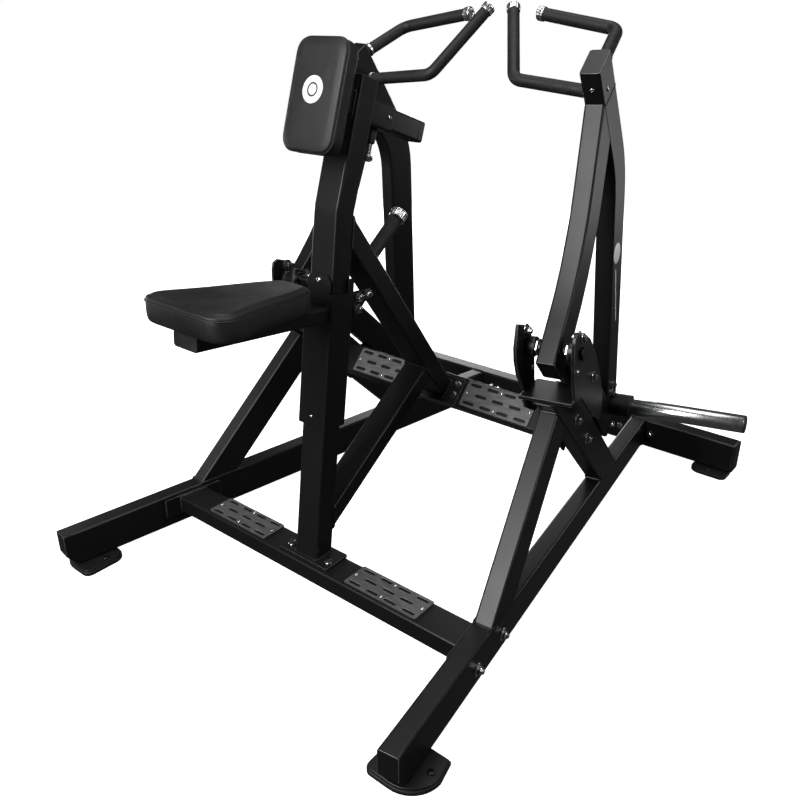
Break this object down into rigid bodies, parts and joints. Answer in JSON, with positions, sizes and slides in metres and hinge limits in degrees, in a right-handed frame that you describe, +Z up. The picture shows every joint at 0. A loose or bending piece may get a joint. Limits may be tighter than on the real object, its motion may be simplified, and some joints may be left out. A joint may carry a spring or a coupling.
{
  "type": "seated row machine",
  "caption": "Plate-loaded seated row machine: chest pad and seat on a leaning post, two pivoting arms with bent hand bars and weight horns, splayed floor frame.",
  "frame": {"origin": "on the floor, under the middle of the bounding box", "axes": "+Z up, -Y towards the seat end, X is the symmetry direction, +X the user's left-hand side when seated facing the post"},
  "size_m": [1.565, 1.7546, 1.4206],
  "materials": {
    "black_paint": "satin powder coat",
    "black_plastic": "fine moulded grain",
    "black_rubber": "matt rubber",
    "bright_steel": "polished chrome",
    "dark_steel": "blackened steel",
    "grey_paint": "satin powder coat, slightly warm",
    "tread_steel": "satin bare plate",
    "vinyl": "upholstery vinyl with a fine leather grain"
  },
  "bodies": {
    "frame": {"assist_grip": "black_rubber", "bump_stop_left": "black_rubber", "bump_stop_right": "black_rubber", "centre_post": "black_paint", "chest_pin_housing": "black_plastic", "foot_cross_beam": "black_paint", "foot_front_left": "black_rubber", "foot_front_right": "black_rubber", "foot_rear_left": "black_rubber", "foot_rear_right": "black_rubber", "front_cross_beam": "black_paint", "leg_front_left": "black_paint", "leg_front_right": "black_paint", "leg_rear_left": "black_paint", "leg_rear_right": "black_paint", "lower_brace": "black_paint", "main_brace": "black_paint", "pivot_axle_left": "dark_steel", "pivot_axle_right": "dark_steel", "pivot_bracket_left": "black_paint", "pivot_bracket_right": "black_paint", "rear_beam": "black_paint", "rear_beam_cap_left": "black_plastic", "rear_beam_cap_right": "black_plastic", "side_beam_left": "black_paint", "side_beam_right": "black_paint", "slider_sleeve": "black_paint", "tread_plate_front_left": "tread_steel", "tread_plate_front_right": "tread_steel", "tread_plate_rear_left": "tread_steel", "tread_plate_rear_right": "tread_steel"},
    "arm_right": {"arm_front_tube_right": "grey_paint", "arm_hub_right": "black_paint", "arm_link_right": "grey_paint", "arm_rear_tube_right": "grey_paint", "handle_lower_right": "black_rubber", "handle_upper_right": "black_rubber", "horn_cap_right": "black_plastic", "weight_collar_right": "black_rubber", "weight_horn_right": "bright_steel"},
    "arm_left": {"arm_front_tube_left": "grey_paint", "arm_hub_left": "black_paint", "arm_link_left": "grey_paint", "arm_rear_tube_left": "grey_paint", "handle_lower_left": "black_rubber", "handle_upper_left": "black_rubber", "horn_cap_left": "black_plastic", "weight_collar_left": "black_rubber", "weight_horn_left": "bright_steel"},
    "seat": {"seat_carriage": "black_paint", "seat_cushion": "vinyl", "seat_pin_housing": "black_plastic", "seat_tube": "black_paint", "seat_tube_cap": "black_plastic"},
    "seat_pin": {"seat_pin_plunger": "dark_steel"},
    "chest_support": {"chest_pad": "vinyl", "chest_slider": "black_paint", "pad_plate": "black_paint", "slider_cap": "black_plastic"},
    "chest_pin": {"chest_pin_plunger": "bright_steel"}
  },
  "joints": [
    {"name": "arm_right_swing", "type": "hinge", "parent": "frame", "child": "arm_right", "pos_m": [0.43495, -0.07112, 0.66239], "axis": [0.9882, 0.1459, 0.0471], "range_deg": [0, 45]},
    {"name": "arm_left_swing", "type": "hinge", "parent": "frame", "child": "arm_left", "pos_m": [-0.43495, -0.07112, 0.66239], "axis": [0.9882, -0.1459, -0.0471], "range_deg": [0, 45]},
    {"name": "seat_height", "type": "slide", "parent": "frame", "child": "seat", "axis": [0, 0.1376, 0.9905], "range_m": [-0.15, 0.03]},
    {"name": "seat_pin_pull", "type": "slide", "parent": "seat", "child": "seat_pin", "axis": [-1, 0, 0], "range_m": [0, 0.012], "stiffness_N_per_m": 600, "springref_m": -0.01},
    {"name": "chest_support_reach", "type": "slide", "parent": "frame", "child": "chest_support", "axis": [0, -0.9485, 0.3168], "range_m": [-0.035, 0.075]},
    {"name": "chest_pin_pull", "type": "slide", "parent": "frame", "child": "chest_pin", "axis": [0, -0.3168, -0.9485], "range_m": [0, 0.012], "stiffness_N_per_m": 600, "springref_m": -0.01}
  ]
}
